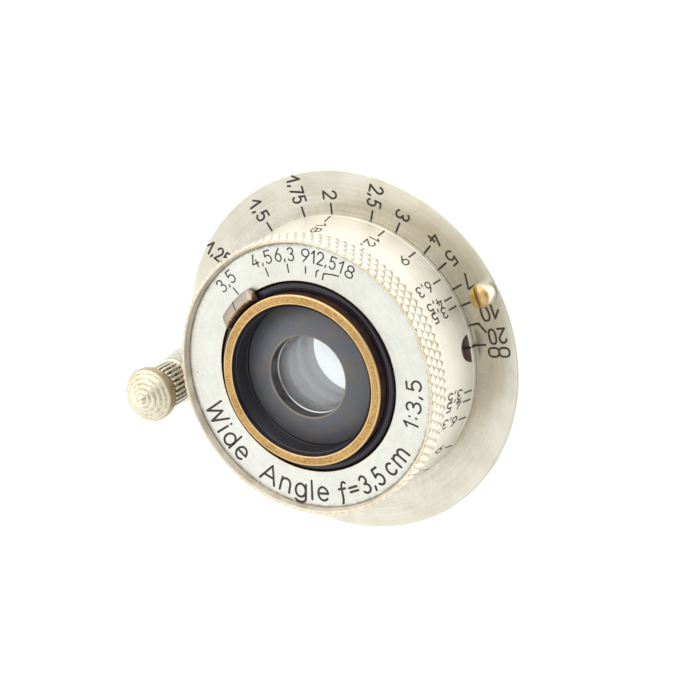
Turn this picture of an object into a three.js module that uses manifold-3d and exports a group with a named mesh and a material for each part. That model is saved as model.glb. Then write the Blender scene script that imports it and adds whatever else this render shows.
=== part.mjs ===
// A compact 3.5 cm f/3.5 screw-mount camera lens, in millimetres.
// +Z is the lens axis towards the subject. The origin is on the axis, at the seat plane: the rear face
// of the flange, which meets the camera. +X points at the infinity mark of the distance scale, to
// within a degree, and angles are measured from it, counter-clockwise as seen from the front.
import * as THREE from 'three';
import { mergeVertices } from 'three/addons/utils/BufferGeometryUtils.js';
import Module from 'manifold-3d';

const wasm = await Module();
wasm.setup();

// ---- driving dimensions -------------------------------------------------------------------------

const WIDE = 40; // segments of the large outer rings
const RING = 30; // segments of the rings inside
const SMALL = 16; // segments of pins, posts and the button

const FLANGE_R = 24;
const FLANGE_T = 2;
const THREAD_R = 19.5; // M39 camera thread
const THREAD_END = -6;
const MOUNT_BORE_R = 16.8;
const RIM_Z = 13.6; // front edge of the knurled ring
const GRIP_R = 18; // knurled ring, which also takes a 36 mm slip-on filter
const GRIP_REAR = 9.55;
const PLATE_Z = 12.75; // engraved face, set back inside the rim
const PLATE_BORE_R = 12.46;
const CONE_REAR_Z = 3;
const CONE_REAR_R = 18.3;
const CONE_FRONT_R = 16.9;
const MALE_THREAD_R = 16.7; // focusing thread on the moving unit
const SLEEVE_IN_R = 14;
const TUBE_R = 11.1; // barrel tube that carries the glasses
const TUBE_BORE_R = 10.3;
const CELL_R = 11.15; // brass rim of the front cell
const CELL_FRONT = 14.45;
const CAM_FACE = -7.5; // rangefinder cam's rear face with the lens at infinity

const BLADES = 6;
const PIVOT_R = 8.4; // circle of the blade pivots
const PIN_R = 0.35;
const BLADE_T = 0.15;
const BLADE_PITCH = 0.25; // height from one blade to the next
const BLADE_Z = 6.95;
const BLADE_IN_R = 5.3;
const BLADE_OUT_R = 7.55;
const BLADE_SPAN = 118;
const DRIVE_BACK = 2.6; // from a blade's pivot to its drive pin
const DRIVE_R = 0.3;
const BLADE_SWING = 30.5;
const TAB_SWING = 57; // travel of the aperture tab
const TAB_ANGLE = 126.8; // tab at full aperture

const LEVER_ANGLE = -177.1; // focusing lever at infinity
const BUTTON_R = 25; // button's axis from the lens axis
const POST_ANGLE = 16.7;
const POST_R = 22.2;
const INDEX_ANGLE = -0.7; // index line with the lens at infinity
const NOTCH_R = 1.8; // scallop in the depth scale ring, over the index line
const KEY_ANGLES = [90, 270];

// ---- helpers ------------------------------------------------------------------------------------

const rad = THREE.MathUtils.degToRad;

// Keeps only positions, merges equal vertices and drops the flat triangles a lathe leaves on its axis.
function weld(geometry) {
  geometry.deleteAttribute('normal');
  geometry.deleteAttribute('uv');
  const merged = mergeVertices(geometry, 1e-5);
  const index = [];
  const all = merged.index.array;
  for (let i = 0; i < all.length; i += 3) {
    const [a, b, c] = [all[i], all[i + 1], all[i + 2]];
    if (a !== b && b !== c && c !== a) {
      index.push(a, b, c);
    }
  }
  merged.setIndex(index);
  return merged;
}

function toSolid(geometry) {
  const welded = weld(geometry);
  const mesh = new wasm.Mesh({
    numProp: 3,
    vertProperties: new Float32Array(welded.attributes.position.array),
    triVerts: new Uint32Array(welded.index.array),
  });
  return new wasm.Manifold(mesh);
}

function toGeometry(solid) {
  const mesh = solid.getMesh();
  const geometry = new THREE.BufferGeometry();
  geometry.setAttribute('position', new THREE.BufferAttribute(mesh.vertProperties, 3));
  geometry.setIndex(new THREE.BufferAttribute(mesh.triVerts, 1));
  return geometry;
}

function cut(geometry, ...tools) {
  return toGeometry(tools.reduce((solid, tool) => solid.subtract(toSolid(tool)), toSolid(geometry)));
}

function join(geometry, ...others) {
  return toGeometry(others.reduce((solid, other) => solid.add(toSolid(other)), toSolid(geometry)));
}

// Turns a closed outline of [radius, z] points about the Z axis.
function turned(outline, segments = RING) {
  const area = outline.reduce((sum, [r, z], i) => {
    const [r2, z2] = outline[(i + 1) % outline.length];
    return sum + r * z2 - r2 * z;
  }, 0);
  const ordered = area > 0 ? outline : [...outline].reverse();
  const points = [...ordered, ordered[0]].map(([r, z]) => new THREE.Vector2(r, z));
  return weld(new THREE.LatheGeometry(points, segments).rotateX(Math.PI / 2));
}

function plainRing(inner, outer, z0, z1, segments = RING) {
  return turned([[inner, z0], [outer, z0], [outer, z1], [inner, z1]], segments);
}

function rod(radius, z0, z1, x = 0, y = 0, segments = SMALL) {
  const geometry = new THREE.CylinderGeometry(radius, radius, z1 - z0, segments);
  return geometry.rotateX(Math.PI / 2).translate(x, y, (z0 + z1) / 2);
}

// A rod along the radius at an angle, from one radius to another at a height.
function spoke(radius, r0, r1, z, angle, segments = SMALL) {
  const geometry = new THREE.CylinderGeometry(radius, radius, r1 - r0, segments);
  return geometry.rotateZ(Math.PI / 2).translate((r0 + r1) / 2, 0, z).rotateZ(rad(angle));
}

// A block on the radius at an angle.
function block(r0, r1, width, z0, z1, angle) {
  const geometry = new THREE.BoxGeometry(r1 - r0, width, z1 - z0);
  return geometry.translate((r0 + r1) / 2, 0, (z0 + z1) / 2).rotateZ(rad(angle));
}

// A sector of a ring between two angles.
function sector(inner, outer, z0, z1, from, to, steps = 10) {
  const shape = new THREE.Shape();
  shape.absarc(0, 0, outer, rad(from), rad(to), false);
  shape.absarc(0, 0, inner, rad(to), rad(from), true);
  const geometry = new THREE.ExtrudeGeometry(shape, {
    depth: z1 - z0,
    bevelEnabled: false,
    curveSegments: steps,
  });
  return geometry.translate(0, 0, z0);
}

// Points of a spherical surface from the edge radius to the axis or back; sag is positive when the
// surface stands up towards +Z at its centre.
function surface(edge, vertexZ, curvature, steps = 4) {
  return Array.from({ length: steps + 1 }, (_, i) => {
    const r = (edge * i) / steps;
    return [r, vertexZ - curvature + Math.sign(curvature) * Math.sqrt(curvature ** 2 - r ** 2)];
  });
}

// A lens element: rear surface outwards from the axis, then the front surface back to it.
function element(edge, rear, front) {
  const outline = [...surface(edge, ...rear), ...surface(edge, ...front).reverse()];
  const points = outline.map(([r, z]) => new THREE.Vector2(Math.max(r, 0), z));
  return weld(new THREE.LatheGeometry(points, 20).rotateX(Math.PI / 2));
}

function polar(r, angle) {
  return [r * Math.cos(rad(angle)), r * Math.sin(rad(angle))];
}

const finishes = {
  nickel: { color: 0xd8d4c6, roughness: 0.38, metalness: 1 },
  brass: { color: 0xb08a4c, roughness: 0.4, metalness: 1 },
  blackPaint: { color: 0x15151a, roughness: 0.32, metalness: 0.1 },
  blackSteel: { color: 0x24242a, roughness: 0.5, metalness: 0.8 },
  steel: { color: 0x9a9a98, roughness: 0.4, metalness: 1 },
  glass: { color: 0xeef2f4, roughness: 0.02, metalness: 0, transparent: true, opacity: 0.3 },
};

const lens = new THREE.Group();
const focusing = new THREE.Group();

function add(name, geometry, finish, parent = lens) {
  const mesh = new THREE.Mesh(geometry, new THREE.MeshStandardMaterial(finishes[finish]));
  mesh.name = name;
  parent.add(mesh);
  return mesh;
}

// ---- the mount, which stays still on the camera -------------------------------------------------

const LIP_Z = 1.45;
const SPIGOT_R = 18.6;
const CATCH_Z = 1.05;

// The pocket in the flange that the infinity catch sits in.
function catchPocket() {
  const gap = 0.05;
  return block(22.8 - gap, 26.4, 4.4 + 2 * gap, CATCH_Z - gap, FLANGE_T + gap, LEVER_ANGLE);
}

function scaleFlange() {
  const outline = [
    [SPIGOT_R + 0.05, 0.3], [THREAD_R + 0.1, 0.3], [THREAD_R + 0.1, 0], [FLANGE_R - 0.15, 0],
    [FLANGE_R, 0.15], [FLANGE_R, FLANGE_T - 0.12], [FLANGE_R - 0.12, FLANGE_T], [17.6, FLANGE_T],
    [17.6, LIP_Z], [SPIGOT_R + 0.05, LIP_Z],
  ];
  const [postX, postY] = polar(POST_R, POST_ANGLE);
  const screws = [-1, 1].map((side) => catchScrew(side, 0.05));
  return cut(turned(outline, WIDE), catchPocket(), rod(0.85, -1, 3, postX, postY, 16), ...screws);
}

function screwBarrel() {
  const outline = [
    [MOUNT_BORE_R, THREAD_END], [THREAD_R - 0.5, THREAD_END], [THREAD_R, THREAD_END + 0.5],
    [THREAD_R, -0.7], [SPIGOT_R, -0.7], [SPIGOT_R, 0.8], [MOUNT_BORE_R, 0.8],
  ];
  return cut(turned(outline, WIDE), ...KEY_ANGLES.map((angle) => guideKey(angle, 0.03)));
}

function guideKey(angle, grow) {
  return block(16.1, 17.9 + grow, 2 + 2 * grow, -4.6 - grow, -3.8 + grow, angle);
}

function infinityCatch() {
  const [x, y] = polar(BUTTON_R, LEVER_ANGLE);
  const seat = rod(1.05, 0, 3, x, y);
  const mouth = sector(BUTTON_R - 1.05, BUTTON_R + 1.05, 0, 3, LEVER_ANGLE, LEVER_ANGLE + 12, 4);
  const plate = block(22.8, 26.4, 4.4, CATCH_Z, FLANGE_T - 0.05, LEVER_ANGLE);
  return cut(plate, seat, mouth, ...[-1, 1].map((side) => catchScrew(side, 0.03)));
}

function catchScrew(side, grow) {
  const [x, y] = polar(23.3, LEVER_ANGLE + side * 3.8);
  return rod(0.35 + grow, 0.3 - grow, FLANGE_T - 0.05 + grow, x, y, 12);
}

function stopPost() {
  const [x, y] = polar(POST_R, POST_ANGLE);
  const shaft = turned([
    [0, 0.2], [0.8, 0.2], [0.8, FLANGE_T + 0.02], [1.5, FLANGE_T + 0.02], [1.5, 3.7], [1.3, 4.15],
    [0.75, 4.4], [0, 4.45],
  ], SMALL);
  const slot = new THREE.BoxGeometry(4, 0.56, 1).rotateZ(rad(100)).translate(0, 0, 4.5);
  return cut(shaft, slot).translate(x, y, 0);
}

add('scale_flange', scaleFlange(), 'nickel');
add('screw_barrel', screwBarrel(), 'brass');
KEY_ANGLES.forEach((angle, i) => add(`cam_guide_key_${i + 1}`, guideKey(angle, 0), 'steel'));
add('infinity_catch', infinityCatch(), 'nickel');
[-1, 1].forEach((side, i) => add(`catch_screw_${i + 1}`, catchScrew(side, 0), 'steel'));
add('near_stop_post', stopPost(), 'nickel');

// ---- the index ring and the focusing lever, which turn in place ---------------------------------

const INDEX_SLEEVE_IN = 16.85;
const INDEX_SLEEVE_OUT = 17.15;
const DRIVE_KEY_ANGLES = [60, 180, 300];
const HOUSING_FOOT_R = 3.6;
const HOUSING_R = 3.16;
const HOUSING_TOP = 5.8;
const SLEEVE_TOP = 10.05;
const SPRING_SEAT = 3.4;

function driveKey(angle) {
  return block(16.9, 17.15, 1.6, CONE_REAR_Z, 4.6, angle);
}

function indexRing() {
  const outline = [
    [INDEX_SLEEVE_IN, 0.9], [18.2, 0.9], [18.2, 1.35], [17.5, 1.35], [17.5, 2.06], [18.32, 2.06],
    [18.32, 2.76], [18.2, 2.88], [INDEX_SLEEVE_OUT, 2.88], [INDEX_SLEEVE_OUT, 5], [INDEX_SLEEVE_IN, 5],
  ];
  const slots = DRIVE_KEY_ANGLES.map((angle) => block(16.5, 17.4, 1.8, 2.94, 6, angle));
  const leverSeat = sector(17.75, 19, 2.02, 3, LEVER_ANGLE - 11.8, LEVER_ANGLE + 11.8);
  return cut(turned(outline, RING), ...slots, leverSeat);
}

function focusLever() {
  const [x, y] = polar(BUTTON_R, LEVER_ANGLE);
  const tongue = sector(17.8, 18.7, 2.12, 2.85, LEVER_ANGLE - 11.6, LEVER_ANGLE + 11.6);
  const fan = sector(18.5, 23.4, 2.12, 3.7, LEVER_ANGLE - 11.4, LEVER_ANGLE + 11.4);
  const body = turned([
    [0, 2.2], [HOUSING_FOOT_R - 0.2, 2.2], [HOUSING_FOOT_R, 2.4], [HOUSING_R, HOUSING_TOP],
    [2.6, HOUSING_TOP], [2.6, 9.6], [0, 9.6],
  ], SMALL).translate(x, y, 0);
  const bore = rod(2, SPRING_SEAT, 12, x, y);
  const stemHole = rod(0.6, 0, 5, x, y, 16);
  return cut(join(fan, tongue, body), bore, stemHole);
}

function gripSleeve() {
  const FLUTES = 36;
  const outline = new THREE.Shape();
  for (let i = 0; i < FLUTES; i += 1) {
    const corners = [[3.02, 0], [3.02, 0.5], [2.84, 0.62], [2.84, 0.88]];
    for (const [r, part] of corners) {
      const [x, y] = polar(r, ((i + part) * 360) / FLUTES);
      if (i === 0 && part === 0) {
        outline.moveTo(x, y);
      } else {
        outline.lineTo(x, y);
      }
    }
  }
  const collarTop = 6.6;
  const fluted = new THREE.ExtrudeGeometry(outline, { depth: SLEEVE_TOP - collarTop, bevelEnabled: false });
  const collar = rod(3.06, HOUSING_TOP + 0.05, collarTop + 0.05);
  const sleeve = join(fluted.translate(0, 0, collarTop), collar);
  return cut(sleeve, rod(2.65, 0, 20)).translate(...polar(BUTTON_R, LEVER_ANGLE), 0);
}

add('index_ring', indexRing(), 'nickel', focusing);
add('focus_lever', focusLever(), 'nickel', focusing);
add('grip_sleeve', gripSleeve(), 'nickel', focusing);

// ---- the infinity lock's button, pressed towards the camera -------------------------------------

const HEAD_REAR = 10.95;
const HEAD_FRONT = 12.45;
const HEAD_R = 3.6;

function buttonHead() {
  const steps = [[2.95, 0.35], [2.35, 0.76], [1.75, 1.14], [1.15, 1.46], [0.55, 1.72]];
  const outline = [[0, HEAD_REAR], [HEAD_R - 0.15, HEAD_REAR], [HEAD_R, HEAD_REAR + 0.2]];
  outline.push([HEAD_R, HEAD_FRONT - 0.25], [HEAD_R - 0.22, HEAD_FRONT]);
  for (const [r, height] of steps) {
    outline.push([r, HEAD_FRONT + height - 0.28], [r - 0.16, HEAD_FRONT + height]);
  }
  outline.push([0.3, HEAD_FRONT + 1.9], [0, HEAD_FRONT + 1.95]);
  return turned(outline, SMALL);
}

function buttonStem() {
  return turned([
    [0, 1.1], [0.85, 1.1], [0.85, 1.9], [0.45, 1.9], [0.45, 8], [1.9, 8], [1.9, 10.7], [1.2, 10.7],
    [1.2, HEAD_REAR - 0.02], [0, HEAD_REAR - 0.02],
  ], SMALL);
}

function buttonSpring() {
  const TURNS = 4;
  const STEPS = 9;
  const points = Array.from({ length: TURNS * STEPS + 1 }, (_, i) => {
    const [x, y] = polar(1.4, (i * 360) / STEPS);
    return new THREE.Vector3(x, y, 3.75 + (3.9 * i) / (TURNS * STEPS));
  });
  const wire = new THREE.Shape().absarc(0, 0, 0.17, 0, 2 * Math.PI, false);
  const path = new THREE.CatmullRomCurve3(points);
  return new THREE.ExtrudeGeometry(wire, {
    steps: TURNS * STEPS,
    curveSegments: 2,
    extrudePath: path,
  });
}

const button = new THREE.Group();
button.position.set(...polar(BUTTON_R, LEVER_ANGLE), 0);
add('button_head', buttonHead(), 'nickel', button);
add('button_stem', buttonStem(), 'steel', button);
add('button_spring', weld(buttonSpring()), 'steel', button);
focusing.add(button);

// ---- the optical unit, which turns with the lever and travels along the axis --------------------

const LEDGE_Z = 6;

function helicoidSleeve() {
  return turned([
    [SLEEVE_IN_R, -6], [15.25, -6], [15.25, -2], [MALE_THREAD_R, -2], [MALE_THREAD_R, 3], [16.2, 3],
    [16.2, 5.2], [15.8, 5.2], [15.8, 9.2], [15.1, 9.2], [15.1, LEDGE_Z], [SLEEVE_IN_R, LEDGE_Z],
  ]);
}

function depthScaleRing() {
  const ring = turned([
    [17.25, CONE_REAR_Z], [CONE_REAR_R, CONE_REAR_Z], [CONE_FRONT_R, 9.5], [15.9, 9.5], [15.9, 5.25],
    [17.25, 5.25],
  ], WIDE);
  return cut(ring, spoke(NOTCH_R, 16, 20, CONE_REAR_Z, INDEX_ANGLE));
}

function knurledRing() {
  return turned([
    [15.9, GRIP_REAR], [GRIP_R - 0.4, GRIP_REAR], [GRIP_R, GRIP_REAR + 0.2], [GRIP_R, RIM_Z - 0.1],
    [GRIP_R - 0.1, RIM_Z], [GRIP_R - 0.2, RIM_Z], [17.25, PLATE_Z + 0.05], [17.25, 11.95], [15.9, 11.95],
  ], WIDE);
}

function facePlate() {
  return turned([
    [PLATE_BORE_R, 12], [17.2, 12], [17.2, PLATE_Z], [PLATE_BORE_R, PLATE_Z],
  ], WIDE);
}

function mainBarrel() {
  const barrel = turned([
    [TUBE_BORE_R, 1.6], [TUBE_R, 1.6], [TUBE_R, LEDGE_Z + 0.05], [15, LEDGE_Z + 0.05], [15, 7.4],
    [TUBE_R, 7.4], [TUBE_R, 12.3], [TUBE_BORE_R, 12.3],
  ]);
  return cut(barrel, sector(9, 12, 8.5, 9.4, TAB_ANGLE - TAB_SWING - 4, TAB_ANGLE + 4, 12));
}

function barrelLockRing() {
  const notches = [0, 180].map((angle) => block(14, 16, 1.4, 8, 9, angle));
  return cut(plainRing(12.8, 15.02, 7.45, 8.4), ...notches);
}

add('helicoid_sleeve', helicoidSleeve(), 'brass', focusing);
DRIVE_KEY_ANGLES.forEach((angle, i) => {
  add(`drive_key_${i + 1}`, driveKey(angle), 'steel', focusing);
});
add('depth_scale_ring', depthScaleRing(), 'nickel', focusing);
add('knurled_ring', knurledRing(), 'nickel', focusing);
add('face_plate', facePlate(), 'nickel', focusing);
add('main_barrel', mainBarrel(), 'brass', focusing);
add('barrel_lock_ring', barrelLockRing(), 'brass', focusing);

// ---- the glasses and their cells ----------------------------------------------------------------

const CELL_FIT_R = TUBE_BORE_R - 0.06;

function frontCell() {
  return turned([
    [5.6, 9.6], [CELL_FIT_R, 9.6], [CELL_FIT_R, 12.4], [CELL_R, 12.4], [CELL_R, CELL_FRONT - 0.12],
    [CELL_R - 0.12, CELL_FRONT], [9.95, CELL_FRONT], [9.45, CELL_FRONT - 0.45], [9.45, 10.95],
    [6.45, 10.95], [6.45, 10.1], [5.6, 10.1],
  ]);
}

function frontRetainer() {
  return turned([
    [9.35, 11], [9.35, 11.25], [5.5, 12.6], [5.3, 12.6], [5.3, 10.72], [6.1, 10.72], [6.1, 11],
  ]);
}

function middleCell() {
  return turned([
    [5.2, 4.55], [CELL_FIT_R, 4.55], [CELL_FIT_R, 6.05], [6.5, 6.05], [6.5, 5.95], [5.75, 5.95],
    [5.75, 4.85], [5.2, 4.85],
  ]);
}

function rearCell() {
  return turned([
    [5.15, 4.4], [5.7, 4.4], [5.7, 2], [7, 2], [7, 1.3], [CELL_FIT_R, 1.3], [CELL_FIT_R, 4.5], [5.15, 4.5],
  ]);
}

function rearRetainer() {
  return turned([[5.2, 1.35], [6.9, 1.35], [6.9, 1.95], [5.65, 1.95], [5.65, 2.4], [5.2, 2.4]]);
}

add('front_cell', frontCell(), 'brass', focusing);
add('front_retainer', frontRetainer(), 'blackPaint', focusing);
add('front_element', element(6.3, [9.95, -90], [11.1, 30]), 'glass', focusing);
add('middle_cell', middleCell(), 'blackSteel', focusing);
add('middle_element', element(5.6, [5.22, 50], [5.62, -50]), 'glass', focusing);
add('rear_cell', rearCell(), 'blackSteel', focusing);
add('rear_inner_element', element(5.6, [3.7, 20], [4.1, -60]), 'glass', focusing);
add('rear_outer_element', element(5.6, [2.02, -30], [3.67, 20]), 'glass', focusing);
add('rear_retainer', rearRetainer(), 'blackPaint', focusing);

// ---- the iris -----------------------------------------------------------------------------------

const CAM_Z0 = 8.6;
const CAM_Z1 = 9.3;
const LINK_R = 0.22; // pin that joins the setting ring to the cam ring through the barrel's slot
const LINK_Z = 8.95;

// Where a blade's drive pin stands when the blade has swung by an angle, seen from the barrel.
function drivePin(swing) {
  return [PIVOT_R + DRIVE_BACK * Math.sin(rad(swing - 15)), -DRIVE_BACK * Math.cos(rad(swing - 15))];
}

// The drive pin's path across the turning cam ring, from open to closed.
function camPath(steps = 8) {
  return Array.from({ length: steps + 1 }, (_, i) => {
    const part = -0.03 + (1.06 * i) / steps;
    const [x, y] = drivePin(BLADE_SWING * part);
    const turn = rad(TAB_SWING * part);
    return [x * Math.cos(turn) - y * Math.sin(turn), x * Math.sin(turn) + y * Math.cos(turn)];
  });
}

function slotTool(angle) {
  const half = DRIVE_R + 0.08;
  const path = camPath();
  const sides = path.map(([x, y], i) => {
    const [x0, y0] = path[Math.max(i - 1, 0)];
    const [x1, y1] = path[Math.min(i + 1, path.length - 1)];
    const length = Math.hypot(x1 - x0, y1 - y0);
    const [nx, ny] = [(-(y1 - y0) * half) / length, ((x1 - x0) * half) / length];
    return [new THREE.Vector2(x + nx, y + ny), new THREE.Vector2(x - nx, y - ny)];
  });
  const outline = [...sides.map(([left]) => left), ...sides.map(([, right]) => right).reverse()];
  const slot = new THREE.ExtrudeGeometry(new THREE.Shape(outline), { depth: 2, bevelEnabled: false });
  return slot.translate(0, 0, CAM_Z0 - 0.5).rotateZ(rad(angle));
}

function irisCamRing() {
  const slots = Array.from({ length: BLADES }, (_, i) => slotTool((i * 360) / BLADES));
  const pinHole = spoke(LINK_R + 0.05, 9.8, 11, LINK_Z, TAB_ANGLE, 8);
  return cut(plainRing(7.3, 10.16, CAM_Z0, CAM_Z1), ...slots, pinHole);
}

function irisBlade(i) {
  const z = BLADE_Z + i * BLADE_PITCH;
  const shape = new THREE.Shape();
  shape.absarc(0, 0, BLADE_OUT_R, rad(-6), rad(BLADE_SPAN), false);
  shape.absarc(0, 0, BLADE_IN_R, rad(BLADE_SPAN), rad(-6), true);
  const band = new THREE.ExtrudeGeometry(shape, { depth: BLADE_T, bevelEnabled: false, curveSegments: 9 });
  const ear = rod(0.95, z, z + BLADE_T, PIVOT_R, 0, 12);
  const [x, y] = drivePin(0);
  const heel = rod(0.6, z, z + BLADE_T, x, y, 8);
  const link = new THREE.BoxGeometry(DRIVE_BACK, 1.1, BLADE_T);
  link.rotateZ(Math.atan2(y, x - PIVOT_R)).translate((PIVOT_R + x) / 2, y / 2, z + BLADE_T / 2);
  const pin = rod(DRIVE_R, z + BLADE_T / 2, CAM_Z1 - 0.1, x, y, 8);
  const blade = join(band.translate(0, 0, z), ear, heel, link, pin);
  return cut(blade, rod(PIN_R + 0.06, 0, 12, PIVOT_R, 0, 10)).rotateZ(rad((i * 360) / BLADES));
}

function bladeBaseRing() {
  return plainRing(5.55, CELL_FIT_R, 6.12, 6.8);
}

function pivotPin(i) {
  return rod(PIN_R, 6.82, 8.5, ...polar(PIVOT_R, (i * 360) / BLADES), 8);
}

const RING_IN_R = CELL_R + 0.1;
const RING_OUT_R = 12.34;

function irisSettingRing() {
  const ring = turned([
    [RING_IN_R, 7.7], [RING_OUT_R, 7.7], [RING_OUT_R, 12.4], [RING_OUT_R - 0.12, 12.62], [12, 12.75],
    [RING_IN_R, 13],
  ]);
  return cut(ring, spoke(LINK_R + 0.05, 10.5, 13, LINK_Z, TAB_ANGLE, 8));
}

// The finger tab rises to a ridge, with a wide slope outside it and a narrow one inside.
function irisTab() {
  const half = 14;
  const tab = sector(11.42, 13.28, 13.05, 14.5, TAB_ANGLE - half, TAB_ANGLE + half, 8);
  const slopes = turned([[11, 13.5], [12, 14.48], [14, 13.06], [14, 15], [11, 15]], RING);
  const corners = [-1, 1].map((side) => {
    const corner = new THREE.BoxGeometry(2, 1, 4).rotateZ(rad(side * 45));
    return corner.translate(13.25, side * 3.75, 14).rotateZ(rad(TAB_ANGLE));
  });
  return cut(tab, slopes, ...corners);
}

add('iris_setting_ring', irisSettingRing(), 'blackPaint', focusing);
add('iris_tab', irisTab(), 'nickel', focusing);
add('iris_drive_pin', spoke(LINK_R, 9.85, 12.2, LINK_Z, TAB_ANGLE, 8), 'steel', focusing);
add('iris_cam_ring', irisCamRing(), 'blackSteel', focusing);
add('blade_base_ring', bladeBaseRing(), 'blackSteel', focusing);
for (let i = 0; i < BLADES; i += 1) {
  add(`blade_pivot_pin_${i + 1}`, pivotPin(i), 'steel', focusing);
  add(`iris_blade_${i + 1}`, irisBlade(i), 'blackSteel', focusing);
}

// ---- the rangefinder cam, which slides on the guide keys ----------------------------------------

function rangefinderCam() {
  const grooves = KEY_ANGLES.map((angle) => block(15.95, 18, 2.2, CAM_FACE - 1, -3, angle));
  return cut(plainRing(15.4, 16.6, CAM_FACE, -3.7), ...grooves);
}

add('rangefinder_cam_ring', rangefinderCam(), 'brass');

lens.add(focusing);

export default lens;
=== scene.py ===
"""Looks of a compact 3.5 cm f/3.5 screw-mount camera lens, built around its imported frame.

Lengths are millimetres unless a name ends in _m, and angles are degrees counter-clockwise from +X as
seen from the front. +Z is the lens axis towards the subject, and z = 0 is the flange's rear face.
"""
import math

import bmesh
import bpy
from mathutils import Matrix, Vector


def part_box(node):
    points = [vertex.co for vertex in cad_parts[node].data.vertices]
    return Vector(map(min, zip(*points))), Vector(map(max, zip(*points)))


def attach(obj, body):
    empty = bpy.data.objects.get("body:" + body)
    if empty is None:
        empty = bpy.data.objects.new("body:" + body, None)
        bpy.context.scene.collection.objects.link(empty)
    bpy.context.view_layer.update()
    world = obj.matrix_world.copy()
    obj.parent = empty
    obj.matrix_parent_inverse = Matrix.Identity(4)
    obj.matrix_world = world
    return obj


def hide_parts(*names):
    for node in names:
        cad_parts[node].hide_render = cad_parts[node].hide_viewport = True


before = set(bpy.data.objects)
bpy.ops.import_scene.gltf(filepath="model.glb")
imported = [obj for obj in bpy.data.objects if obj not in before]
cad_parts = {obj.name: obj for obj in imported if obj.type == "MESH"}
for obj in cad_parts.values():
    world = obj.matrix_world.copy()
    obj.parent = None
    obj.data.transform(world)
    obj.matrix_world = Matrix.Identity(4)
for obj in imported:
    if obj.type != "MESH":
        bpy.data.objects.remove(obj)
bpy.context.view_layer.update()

MM = 0.001


# ---- dimensions that come from the frame ---------------------------------------------------------

def outer_radius(node):
    low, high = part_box(node)
    return max(abs(low.x), abs(low.y), high.x, high.y) / MM


def z_range(node):
    low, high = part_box(node)
    return low.z / MM, high.z / MM


def middle(node):
    low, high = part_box(node)
    return (low + high) / 2 / MM


FLANGE_R = outer_radius("scale_flange")
FLANGE_Z = z_range("scale_flange")[1]
THREAD_R = outer_radius("screw_barrel")
THREAD_REAR = z_range("screw_barrel")[0]
GRIP_R = outer_radius("knurled_ring")
GRIP_REAR, RIM_Z = z_range("knurled_ring")
PLATE_Z = z_range("face_plate")[1]
CONE_REAR, CONE_FRONT = z_range("depth_scale_ring")
CONE_REAR_R = outer_radius("depth_scale_ring")
CONE_FRONT_R = CONE_REAR_R - 1.4
CELL_R = 11.15
CELL_FRONT = z_range("front_cell")[1]
SLEEVE_REAR = z_range("helicoid_sleeve")[0]
CAM_REAR, CAM_FRONT = z_range("rangefinder_cam_ring")
HEAD_REAR, HEAD_TIP = z_range("button_head")
HEAD_AT = middle("button_head")
HEAD_R = (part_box("button_head")[1].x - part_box("button_head")[0].x) / 2 / MM
HOUSING_TOP = z_range("grip_sleeve")[0] - 0.05
SLEEVE_TOP = z_range("grip_sleeve")[1]
LEVER_ANGLE = math.degrees(math.atan2(HEAD_AT.y, HEAD_AT.x))
POST_AT = middle("near_stop_post")
POST_REAR, POST_TOP = z_range("near_stop_post")
TAB_REAR, TAB_FRONT = z_range("iris_tab")
TAB_ANGLE = 126.8
FLOOR_Z = CAM_REAR


# ---- shader nodes --------------------------------------------------------------------------------

class Nodes:
    """A node tree, with short ways to add nodes to it."""

    def __init__(self, tree):
        self.tree = tree

    def node(self, kind, inputs=None, **settings):
        made = self.tree.nodes.new(kind)
        for key, value in settings.items():
            setattr(made, key, value)
        for key, value in (inputs or {}).items():
            self.put(made.inputs[key], value)
        return made

    def put(self, socket, value):
        if isinstance(value, bpy.types.NodeSocket):
            self.tree.links.new(value, socket)
        else:
            socket.default_value = value

    def math(self, operation, first, second=0.0, clamp=False):
        made = self.node("ShaderNodeMath", {0: first, 1: second}, operation=operation, use_clamp=clamp)
        return made.outputs[0]

    def times(self, first, second, clamp=False):
        return self.math("MULTIPLY", first, second, clamp)

    def plus(self, first, second, clamp=False):
        return self.math("ADD", first, second, clamp)

    def remap(self, value, low, high, to_low=0.0, to_high=1.0):
        inputs = {"Value": value, "From Min": low, "From Max": high, "To Min": to_low, "To Max": to_high}
        return self.node("ShaderNodeMapRange", inputs, interpolation_type="SMOOTHSTEP").outputs[0]


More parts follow.
